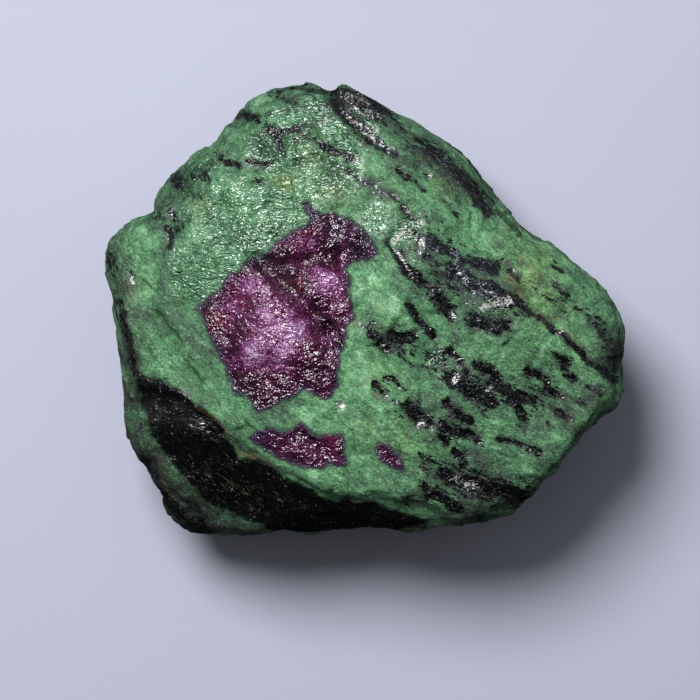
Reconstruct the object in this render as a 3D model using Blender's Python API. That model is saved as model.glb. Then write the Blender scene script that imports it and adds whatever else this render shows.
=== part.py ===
"""A hand-sized lump of rough ruby in zoisite, lying on its broken back with its ruby face up.

The lump is one rock, so it is one solid. Its frame is +Z up, with the origin in the middle of the
footprint, on the surface that the lump rests on. The form is worked out in millimetres: a blank with
the lump's outline, cut by broken faces, then carved with its ledges, creases and dents. It is made
with fine quads first, and then brought down to the fewest triangles that keep its forms.
"""

import math

import bmesh
import bpy
import numpy as np
from mathutils import Vector, noise

MM = 0.001

# Driving dimensions, in millimetres. X is the length, Y the width and Z the height.
LENGTH, WIDTH, HEIGHT = 91.0, 79.5, 46.0
CELLS_PER_SIDE = 80  # quads along each side of the cube that the fine blank starts from
TRIANGLES = 9600

# The lump's outline seen from above, anticlockwise from its right-hand end: (x, y).
OUTLINE = [
    (45.5, -5.5), (45, -2.5), (44, 0.5), (42.5, 3), (40, 5.5), (35, 9.5), (29.5, 13.5),
    (27, 16), (22.5, 21.5), (18, 26.5), (13.5, 30.5), (8, 34), (3.5, 36), (-1, 39), (-4, 39.8),
    (-6.2, 38.9), (-9, 39.6), (-12, 39.9), (-14, 39.5), (-18.5, 38), (-20.8, 36.8), (-22, 34.5),
    (-22.8, 33), (-24, 32.5), (-25, 31), (-28, 28.5), (-30, 27.3), (-32, 25.3), (-34, 23),
    (-35.5, 21.5), (-36.6, 19.5), (-37, 17.8), (-40, 16.5), (-42.5, 15), (-44, 13.5),
    (-45, 11), (-45.5, 8.5), (-45, 6), (-44.2, 4), (-43, 2), (-42.3, -4.5), (-42, -10),
    (-41.4, -15), (-41.2, -20), (-40.5, -24), (-39, -27), (-37, -31), (-36, -33), (-33, -37),
    (-31.5, -39), (-29.5, -39.6), (-26, -39.9), (-21.5, -39.5), (-14, -38.6), (-9, -39.2),
    (-3.5, -38.6), (4, -38.2), (10.5, -38.9), (14, -38.2), (18, -38), (21.5, -37), (25.5, -35),
    (29, -31.5), (30.5, -29.3), (32.5, -28), (35.5, -24), (37, -21.5), (41.5, -18), (43.5, -16),
    (45, -12.5), (45, -9),
]  # fmt: skip

# The height of the lump's widest line, where its upper side turns under: (degrees round, z).
RIM_HEIGHTS = [
    (0, 26), (20, 22), (40, 20), (75, 21), (90, 26), (112, 25), (140, 21), (165, 24), (185, 25),
    (207, 22), (235, 18), (270, 23), (295, 29), (315, 32), (340, 31),
]  # fmt: skip

# The broken faces of the upper side: a point on each, then its slope along X and along Y.
CROWN_FACES = {
    "upper_plateau": ((-13.0, -2.0, 46.0), (0.00, -0.155)),
    "ruby_brow": ((-13.0, -2.0, 46.0), (0.02, 0.13)),
    "right_flank": ((-13.0, -2.0, 46.5), (-0.13, 0.12)),
    "upper_right_slope": ((25.5, 2.0, 41.5), (-0.37, -0.30)),
    "lower_left_scarp": ((-21.0, -23.5, 40.0), (0.45, 0.78)),
    "front_scarp": ((0.0, -33.0, 40.0), (0.00, 1.10)),
    "upper_left_shoulder": ((-30.0, 23.0, 37.0), (0.64, -0.48)),
    "left_shelf": ((-37.5, 9.0, 36.0), (0.50, 0.00)),
    "left_slope": ((-26.0, -5.0, 41.0), (0.40, 0.10)),
    "top_lobe": ((-11.0, 36.0, 36.0), (0.10, -0.60)),
    "right_end": ((41.0, -4.0, 37.0), (-0.90, -0.10)),
}
# The broken faces of the underside, in the same form.
BASE_FACES = {
    "right_undercut": ((24.0, 4.0, 0.0), (0.62, 0.10)),
    "upper_right_undercut": ((20.0, 14.0, 2.0), (0.50, 0.75)),
    "upper_undercut": ((-4.0, 19.0, 0.0), (-0.10, 0.68)),
    "upper_left_undercut": ((-24.0, 20.0, 4.0), (-0.60, 0.80)),
    "left_undercut": ((-26.0, 4.0, 0.0), (-0.85, 0.05)),
    "lower_left_undercut": ((-28.0, -24.0, 3.0), (-0.70, -0.50)),
    "lower_undercut": ((-6.0, -23.0, 0.0), (0.05, -0.78)),
    "corner_undercut": ((20.0, -17.0, 0.0), (0.40, -0.75)),
    "right_end_undercut": ((38.0, -8.0, 14.0), (1.30, -0.30)),
}
CROWN_DOME_TOP = 48.0
CROWN_DOME_POWER = 3.4
BASE_DOME_POWER = 3.0
BASE_DOME_DEPTH = 3.0  # how far the round underside would reach below the resting face
FACE_SOFTNESS = 0.45  # how far the edges between broken faces are worn round
NOTCH_SPREAD = 12.0  # degrees to either side over which the outline's notches even out
NOTCH_FADE = 0.45  # and how soon they do, as a share of the way from the widest line to a pole

# Ledges in the upper side. Each follows a line seen from above, steps down on the line's right-hand
# side by a drop, and comes back to level over a distance: line, drop, distance.
LEDGES = {
    "shoulder": ([(-37.1, 17.9), (-34.8, 15.5), (-33.6, 12.3), (-34.3, 8.5), (-36.1, 3.6)], 1.7, 7.0),
    "rim_strip": ([(-24.3, 31.6), (-27.8, 25.5), (-30.5, 21.1), (-33.1, 16.7)], 1.5, 6.0),
    "plateau": ([(-29.6, 19.9), (-22.2, 17.9), (-14.5, 18.4), (-9.5, 17.6)], 0.9, 5.0),
    "bright_bump": ([(-31.5, 1.4), (-27.7, 2.4), (-22.6, 7.0), (-19.8, 9.4)], 0.9, 7.0),
    "ruby_brow": ([(-9.5, 12.6), (-3.0, 11.0), (1.0, 9.0)], 1.0, 5.0),
    "small_ruby": ([(-21.2, -20.0), (-16.8, -20.6), (-11.2, -20.9), (-6.8, -22.0)], 1.0, 4.0),
    "black_band": (
        [(-37.5, -14.3), (-32.2, -15.1), (-28.7, -17), (-26, -18.8), (-22.6, -22.7), (-20, -25.3),
         (-15.6, -27.6), (-9.5, -30.2), (-4.2, -32.6), (1, -33.7)], 1.2, 9.0),
    "corner": ([(-27.0, -38.5), (-34.0, -31.5), (-35.7, -26.2)][::-1], 1.3, 6.0),
    "grey_ridge": (
        [(29.0, 12.3), (24.7, 16.7), (21.2, 20.2), (17.7, 24.2), (14.2, 28.1), (9.8, 30.7),
         (5.4, 33.7)], 1.5, 6.0),
    "front_edge": ([(-2.4, -31.4), (6, -33.0), (11.5, -34.3), (15, -36.3)], 0.9, 5.0),
    "flank_line": ([(43.4, -13.0), (39.5, -10.4), (35.2, -6), (31.7, -2), (26.4, 1.5)], 0.7, 7.0),
}  # fmt: skip
LEDGE_FACE = 2.4  # how wide a ledge's step is, seen from above

# Creases in the upper side: line, how far each reaches to either side, and its depth. A ridge has
# a negative depth.
CREASES = {
    "left_gash": ([(-36.4, -1.3), (-34.8, -4.3), (-32.5, -7.3), (-30.5, -10.8), (-29.2, -13)], 1.5, 1.6),
    "ruby_cleft": ([(-20.5, 9.6), (-16.8, 8.1), (-14.3, 4.8), (-11.7, 1.8), (-8.6, -1.3), (-5, -5.2)], 1.5, 1.4),
    "ruby_saddle": ([(-11.2, 8.6), (-7.7, 8.4), (-3.3, 9.2), (-1.6, 8.2)], 0.9, 0.9),
    "plateau_pocket": ([(-25.2, 25.8), (-21.5, 24.3), (-17.8, 25.4), (-13.8, 23.2)], 1.0, 1.0),
    "lobe_valley": ([(-22.2, 33.7), (-17.9, 31.2), (-15, 28), (-14, 24.2)], 1.6, 1.2),
    "top_notch": ([(-6.2, 41), (-4.6, 35.8), (-1, 32.6), (4.5, 28.4)], 1.1, 2.0),
    "dark_chain": ([(4.9, 12.3), (6.5, 9.7), (8.4, 5.7), (12.3, 4.4), (15, 0)], 1.0, 0.7),
    "dark_streak": ([(7.7, 1.3), (11.6, -3.7), (12.8, -6)], 0.8, 0.7),
    "scarp_gully": ([(-35.0, -24.0), (-28.0, -27.5), (-20.0, -31.5), (-10.0, -35.0)], 1.6, 0.8),
    "eyebrow_ridge": ([(-17.2, 19.9), (-15, 20.7), (-12.2, 19.6)], 0.8, -0.7),
    "bump_ridge": ([(-24.5, 11.5), (-19.5, 11.3), (-13, 11.8)], 1.3, 0.8),
}  # fmt: skip
# Hollows and, with a negative depth, bumps: centre, reach along X and along Y, depth.
DENTS = {
    "rust_pit": ((-14.2, 23.2), (1.6, 1.3), 1.2),
    "small_ruby_hollow": ((-11.6, -24.0), (6.5, 2.4), 0.7),
    "left_bump": ((-34.2, -10.3), (2.6, 3.0), -1.0),
    "left_inner_bump": ((-28.0, -9.5), (2.6, 4.6), -0.7),
    "plateau_bump": ((-28.0, 8.0), (4.2, 4.2), -1.0),
    "ruby_bump": ((-16.5, -4.5), (4.5, 4.0), -0.9),
    "upper_facet": ((-9.5, 27.3), (3.5, 3.5), -0.8),
    "flank_hollow": ((18.0, 6.0), (6.0, 4.0), 0.8),
    "flank_swell": ((15.0, -14.0), (9.0, 6.0), -0.8),
    "lower_swell": ((3.0, -30.5), (6.0, 2.2), -0.9),
}
CARVING_STARTS = 20.0  # the carving fades in over 6 mm above this height

# The rock is layered. GRAIN_ANGLE is how the layers' grain runs across the crown.
GRAIN_ANGLE = math.radians(-38)
LAYER_DIP = math.radians(28)
NOISE_PLACE = Vector((31.7, 12.4, 5.9))
LUMP_SIZE, LUMP_HEIGHT = 13.0, 0.9
KNOCK_SIZE, KNOCK_HEIGHT = 6.5, 0.55
GRAIN_LENGTH, GRAIN_WIDTH, GRAIN_HEIGHT = 16.0, 3.6, 0.6


def outline_radius(angles):
    """The outline's distance from the middle at these angles, in radians."""
    points = np.array(OUTLINE)
    around = np.arctan2(points[:, 1], points[:, 0])
    order = np.argsort(around)
    return np.interp(
        angles, around[order], np.hypot(points[:, 0], points[:, 1])[order], period=2 * math.pi
    )


def side_radius(angles, height):
    """The radius at these angles, losing the outline's notches away from the widest line.

    The height is a direction's Z: 0 on the widest line and 1 or -1 at the poles.
    """
    turns = np.radians(np.linspace(-NOTCH_SPREAD, NOTCH_SPREAD, 9))
    plain = sum(outline_radius(angles + turn) for turn in turns) / len(turns)
    fade = np.clip(np.abs(height) / NOTCH_FADE, 0, 1)
    fade = fade * fade * (3 - 2 * fade)
    return outline_radius(angles) * (1 - fade) + plain * fade


def rim_height(angles):
    table = np.array(RIM_HEIGHTS, float)
    return np.interp(angles, np.radians(table[:, 0]), table[:, 1], period=2 * math.pi)


def face_heights(faces, x, y):
    """The height of each broken face's plane over the points x, y."""
    return [z0 + sx * (x - x0) + sy * (y - y0) for (x0, y0, z0), (sx, sy) in faces.values()]


def lowest(heights):
    """The lowest of several heights, with the corners between them rounded off."""
    stack = np.array(heights)
    low = stack.min(axis=0)
    return low - FACE_SOFTNESS * np.log(np.exp((low - stack) / FACE_SOFTNESS).sum(axis=0))


def highest(heights):
    return -lowest([-h for h in heights])


def cube_ball():
    """A ball of even quads, made by blowing up a gridded cube."""
    mesh = bmesh.new()
    bmesh.ops.create_cube(mesh, size=2)
    bmesh.ops.subdivide_edges(mesh, edges=mesh.edges[:], cuts=CELLS_PER_SIDE - 1, use_grid_fill=True)
    for vertex in mesh.verts:
        vertex.co = Vector(math.tan(c * math.pi / 4) for c in vertex.co).normalized()
    return mesh


def blank(directions):
    """The lump with its outline and its broken faces, from unit directions out of its middle."""
    angles = np.arctan2(directions[:, 1], directions[:, 0])
    spread = np.minimum(np.hypot(directions[:, 0], directions[:, 1]), 1)
    radius = side_radius(angles, directions[:, 2])
    x, y = radius * spread * np.array([np.cos(angles), np.sin(angles)])
    rim = rim_height(angles)
    dome = rim + (CROWN_DOME_TOP - rim) * np.sqrt(1 - spread**CROWN_DOME_POWER)
    crown = lowest([dome, *face_heights(CROWN_FACES, x, y)])
    bowl_depth = rim + BASE_DOME_DEPTH
    bowl = rim - bowl_depth * np.sqrt(1 - spread**BASE_DOME_POWER)
    base = highest([bowl, *face_heights(BASE_FACES, x, y)])
    z = np.where(directions[:, 2] >= 0, np.maximum(crown, rim - 1), np.minimum(base, rim))
    return np.column_stack([x, y, z])


def distance_to_line(line, x, y):
    """How far each point is from a line seen from above, and on which side: right is positive."""
    nearest = np.full(len(x), np.inf)
    side = np.zeros(len(x))
    for (x0, y0), (x1, y1) in zip(line, line[1:]):
        dx, dy = x1 - x0, y1 - y0
        along = np.clip(((x - x0) * dx + (y - y0) * dy) / (dx * dx + dy * dy), 0, 1)
        distance = np.hypot(x - x0 - along * dx, y - y0 - along * dy)
        right = np.sign(dy * (x - x0) - dx * (y - y0))
        side = np.where(distance < nearest, right, side)
        nearest = np.minimum(nearest, distance)
    return nearest, side


def beside_line(line, x, y):
    """1 beside a line, fading to 0 past its two ends."""
    (x0, y0), (x1, y1) = line[0], line[-1]
    length = math.hypot(x1 - x0, y1 - y0)
    along = ((x - x0) * (x1 - x0) + (y - y0) * (y1 - y0)) / length
    return np.clip(1 + along / 3, 0, 1) * np.clip(1 + (length - along) / 3, 0, 1)


def carved_depth(x, y, z):
    """How deep the ledges, creases and dents go at each point."""
    depth = np.zeros(len(x))
    for line, drop, recovery in LEDGES.values():
        distance, side = distance_to_line(line, x, y)
        down = np.clip(0.5 + side * distance / LEDGE_FACE, 0, 1)
        step = down * down * (3 - 2 * down)
        depth += drop * step * np.exp(-distance / recovery) * beside_line(line, x, y)
    for line, reach, deepest in CREASES.values():
        distance, _ = distance_to_line(line, x, y)
        depth += deepest * np.exp(-((distance / reach) ** 2))
    for (cx, cy), (rx, ry), deepest in DENTS.values():
        depth += deepest * np.exp(-(((x - cx) / rx) ** 2) - ((y - cy) / ry) ** 2)
    return depth * np.clip((z - CARVING_STARTS) / 6, 0, 1)


def roughness(points):
    """Broad lumps, the flatter-sided knocks of a broken face, and ribs along the layers."""
    along = Vector((math.cos(GRAIN_ANGLE), math.sin(GRAIN_ANGLE), 0))
    level = Vector((-math.sin(GRAIN_ANGLE), math.cos(GRAIN_ANGLE), 0))
    across = level * math.cos(LAYER_DIP) + Vector((0, 0, math.sin(LAYER_DIP)))
    down_dip = along.cross(across)
    heights = []
    for co in map(Vector, points):
        lump = noise.fractal(co / LUMP_SIZE + NOISE_PLACE, 1.0, 2.0, 2)
        near, next_near, *_ = noise.voronoi(co / KNOCK_SIZE + NOISE_PLACE)[0]
        rib = noise.noise(
            Vector((co.dot(along), co.dot(down_dip), 0)) / GRAIN_LENGTH
            + Vector((0, 0, co.dot(across) / GRAIN_WIDTH))
        )
        knock = min(next_near - near, 0.6) - 0.3
        heights.append(LUMP_HEIGHT * lump + KNOCK_HEIGHT * knock + GRAIN_HEIGHT * rib)
    return np.array(heights)


def carved(points):
    """The points moved towards or away from the lump's middle by its carving and its roughness."""
    depth = carved_depth(*points.T) - roughness(points)
    middle = np.array([0, 0, HEIGHT * 0.45])
    arms = points - middle
    reach = np.linalg.norm(arms, axis=1)
    return middle + arms * (1 - depth / reach)[:, None]


def settled(points):
    """The points brought to the lump's real size, with the underside worn flat where it rests."""
    low, high = points.min(axis=0), points.max(axis=0)
    low[2] = 0.0
    size = np.array([LENGTH, WIDTH, HEIGHT])
    middle = np.array([(low[0] + high[0]) / 2, (low[1] + high[1]) / 2, 0])
    fitted = (points - middle) * size / (high - low)
    fitted[:, 2] = np.maximum(fitted[:, 2], 0)
    return fitted


def rock_material():
    material = bpy.data.materials.new("ruby_zoisite_rock")
    material.use_nodes = True
    shader = material.node_tree.nodes["Principled BSDF"]
    shader.inputs["Base Color"].default_value = (0.09, 0.21, 0.11, 1)
    shader.inputs["Roughness"].default_value = 0.35
    shader.inputs["Metallic"].default_value = 0.0
    return material


def fine_lump():
    """The lump with all its forms, in fine quads."""
    mesh = cube_ball()
    points = blank(np.array([vertex.co for vertex in mesh.verts]))
    for vertex, point in zip(mesh.verts, settled(carved(points)) * MM):
        vertex.co = point
    bmesh.ops.recalc_face_normals(mesh, faces=mesh.faces[:])
    bmesh.ops.triangulate(mesh, faces=mesh.faces[:])
    data = bpy.data.meshes.new("fine_lump")
    mesh.to_mesh(data)
    mesh.free()
    return data


def thinned(data, triangles):
    """A copy of a mesh with the fewest triangles that its forms need."""
    holder = bpy.data.objects.new("thinning", data)
    bpy.context.scene.collection.objects.link(holder)
    thinner = holder.modifiers.new("thin", "DECIMATE")
    thinner.ratio = triangles / len(data.polygons)
    held = holder.evaluated_get(bpy.context.evaluated_depsgraph_get())
    thin = bpy.data.meshes.new_from_object(held)
    bpy.data.objects.remove(holder)
    return thin


for leftover in list(bpy.data.objects):
    bpy.data.objects.remove(leftover)

lump_mesh = thinned(fine_lump(), TRIANGLES)
lump_mesh.name = "ruby_in_zoisite"
lump_mesh.shade_smooth()
lump_mesh.materials.append(rock_material())
lump = bpy.data.objects.new("ruby_in_zoisite", lump_mesh)
bpy.context.scene.collection.objects.link(lump)
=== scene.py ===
"""A rough lump of ruby in zoisite, lying on a pale table with its ruby face up.

The lump is one mesh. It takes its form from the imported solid, and its broken surface, its minerals and
the marks of its front face are worked out here, in millimetres in the part's own frame.
"""

import math

import bpy
import numpy as np
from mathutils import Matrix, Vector, noise
from mathutils.bvhtree import BVHTree


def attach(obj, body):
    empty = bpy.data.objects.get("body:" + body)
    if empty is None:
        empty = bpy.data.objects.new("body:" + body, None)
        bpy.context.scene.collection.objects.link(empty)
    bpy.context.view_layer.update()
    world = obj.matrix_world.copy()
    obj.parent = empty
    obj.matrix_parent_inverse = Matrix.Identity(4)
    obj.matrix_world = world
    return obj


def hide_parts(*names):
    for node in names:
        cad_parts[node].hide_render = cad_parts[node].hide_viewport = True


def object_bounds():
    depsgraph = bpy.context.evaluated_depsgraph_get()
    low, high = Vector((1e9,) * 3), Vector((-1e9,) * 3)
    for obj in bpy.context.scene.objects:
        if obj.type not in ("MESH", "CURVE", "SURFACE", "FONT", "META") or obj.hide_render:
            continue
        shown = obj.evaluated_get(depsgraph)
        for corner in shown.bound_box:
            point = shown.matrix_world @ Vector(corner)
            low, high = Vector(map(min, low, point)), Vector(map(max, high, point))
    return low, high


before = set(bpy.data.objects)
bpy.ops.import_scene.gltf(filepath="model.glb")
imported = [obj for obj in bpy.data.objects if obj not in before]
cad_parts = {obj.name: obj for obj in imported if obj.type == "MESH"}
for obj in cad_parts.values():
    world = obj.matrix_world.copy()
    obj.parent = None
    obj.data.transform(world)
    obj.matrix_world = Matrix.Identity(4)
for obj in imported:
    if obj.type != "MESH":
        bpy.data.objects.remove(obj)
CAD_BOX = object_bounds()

MM = 0.001
TINY = 1e-12  # keeps a division from being by nothing
NODE = "ruby_in_zoisite"
CELLS = 127  # quads along each side of the gridded cube that the lump's mesh is wrapped from
SMOOTHINGS = 9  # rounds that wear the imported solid's facets off
MIDDLE = np.array([0.0, 0.0, 20.7])  # every point of the lump's surface is in sight of this one

# The eye is straight above this spot, so far up. Marks of the front face are placed as it sees them on
# the plane of the lump's widest line.
EYE = np.array([-2.45, -6.9])
EYE_HEIGHT = 724.0
SEEN_PLANE = 24.0
SEEN_WIDTH = 122.5  # the width of the view on that plane

# ---------------------------------------------------------------- marks of the front face
# fmt: off

RUBY = [
    (-10.1, 18.1), (-10.7, 18.6), (-9.6, 19.2), (-8.6, 18.3), (-7.3, 17.6), (-5.2, 17.2), (-3, 16.3),
    (-0.9, 15), (1.2, 13.8), (2.2, 12.4), (2.1, 10.3), (1.2, 8.6), (-0.7, 8.8), (-2.5, 8.5), (-3, 7.3),
    (-2.5, 5.3), (-2.4, 3.2), (-1.5, 0.8), (-1.4, -1.1), (-2.9, -2.1), (-3, -3.9), (-3.7, -6),
    (-4.2, -8.7), (-4.5, -11.3), (-4.5, -13.2), (-5.4, -15.3), (-7.2, -15), (-8.8, -13.7), (-10.5, -13.7),
    (-11.7, -15), (-13.8, -16), (-16.8, -17.2), (-18.7, -17.6), (-19.6, -16.2), (-20.3, -14.8),
    (-22.4, -14.1), (-23.3, -12.2), (-24, -9.9), (-25.4, -6.9), (-26.4, -4.1), (-27.8, -1.8),
    (-29.2, 0.6), (-27.2, 1.6), (-25.8, 3.1), (-24.4, 4.3), (-22.9, 6.3), (-21.5, 7.8), (-20.2, 9.1),
    (-18.4, 9.9), (-16.8, 10.4), (-15.2, 12), (-13.3, 13.4), (-11.2, 14.4), (-9.6, 15.3), (-8.9, 16.4),
]
LOWER_RUBY = [
    (-20.1, -22.1), (-18.9, -21.1), (-17.1, -20.7), (-15, -20.9), (-12.6, -20.9), (-11, -19.7),
    (-9.6, -20.4), (-7.7, -21.6), (-5.4, -21.4), (-3.7, -21.8), (-3.3, -23.9), (-3.1, -27.2),
    (-4.5, -27.4), (-6.1, -26.5), (-7.3, -27.9), (-9.4, -27.7), (-11.4, -26.7), (-13.8, -26.2),
    (-15.6, -25.3), (-17.5, -24.2), (-18.9, -23.2),
]
SMALL_RUBY = [
    (2.8, -22.6), (4.2, -23.4), (5.8, -25), (7.2, -26.4), (7.5, -28), (6.6, -28.3), (5.2, -27.4),
    (3.4, -26.4), (2.4, -24.8),
]
BLACK_BAND = [
    (-39.9, -10.8), (-37.4, -11.3), (-34.8, -12.5), (-32.5, -13.9), (-30.4, -14.8), (-28.7, -16.5),
    (-26.6, -17.9), (-24.3, -20.7), (-22.6, -23.4), (-21.2, -25.8), (-17.8, -26.5), (-15.6, -27.9),
    (-12.9, -29.3), (-10.3, -30.5), (-8, -32.3), (-5.1, -33.2), (-2.4, -32.6), (0.2, -33.5), (3.7, -34.6),
    (7.2, -35.3), (11.2, -36.3), (10.7, -37.9), (6.3, -38.8), (0.2, -38.9), (-5.9, -39.5), (-11.2, -39.6),
    (-14.3, -39.2), (-17.8, -37.9), (-21.7, -36), (-25.2, -34.7), (-27.8, -33.2), (-30.4, -30.7),
    (-32.5, -27.9), (-34.6, -25.3), (-36.4, -22.7), (-37.6, -20), (-38.7, -17.4), (-39.5, -13.9),
]
# The run of the black band's fibres, from the left to the foot of the lump.
BAND_RUN = [(-44, -9), (-36, -15.5), (-28, -23), (-18, -30.5), (-8, -35.5), (6, -37), (20, -37.5)]

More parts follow.
